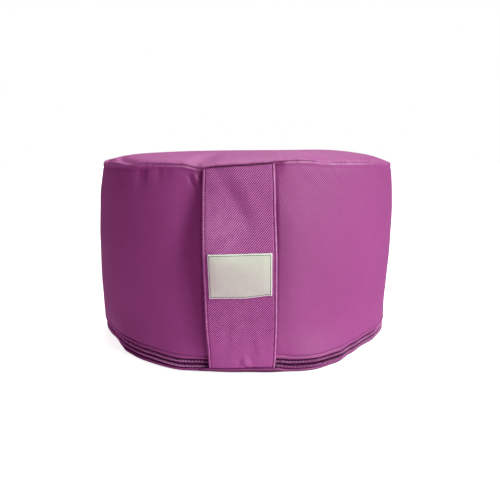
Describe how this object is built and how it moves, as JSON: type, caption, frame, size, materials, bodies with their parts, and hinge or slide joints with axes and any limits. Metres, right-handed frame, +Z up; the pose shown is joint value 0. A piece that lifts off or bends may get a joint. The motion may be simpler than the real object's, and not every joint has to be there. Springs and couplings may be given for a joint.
{
  "type": "yoga cushion",
  "caption": "Round filled yoga and meditation cushion in cotton twill, with a crowned top, a carrying strap with a plain label, and a zip round its foot.",
  "frame": {"origin": "on the floor, under the middle of the whole part, so a few millimetres in front of the round cushion's own middle", "axes": "+Z up from the floor through the crowned top, -Y towards the carrying strap and its label, +X to the right as one faces the strap"},
  "size_m": [0.3308, 0.3414, 0.1993],
  "materials": {
    "orchid_twill": "heavy cotton twill, orchid purple, matt",
    "zip_tape": "woven polyester zip tape, dyed to match",
    "zip_coil": "nylon coil, dyed to match",
    "label_satin": "woven satin label, warm off-white, bare"
  },
  "bodies": {
    "root": {"cushion_body": "orchid_twill", "strap": "orchid_twill", "label": "label_satin", "zip_tape_lower": "zip_tape", "zip_tape_upper": "zip_tape", "zip_coil_lower": "zip_coil", "zip_coil_upper": "zip_coil"}
  },
  "joints": []
}
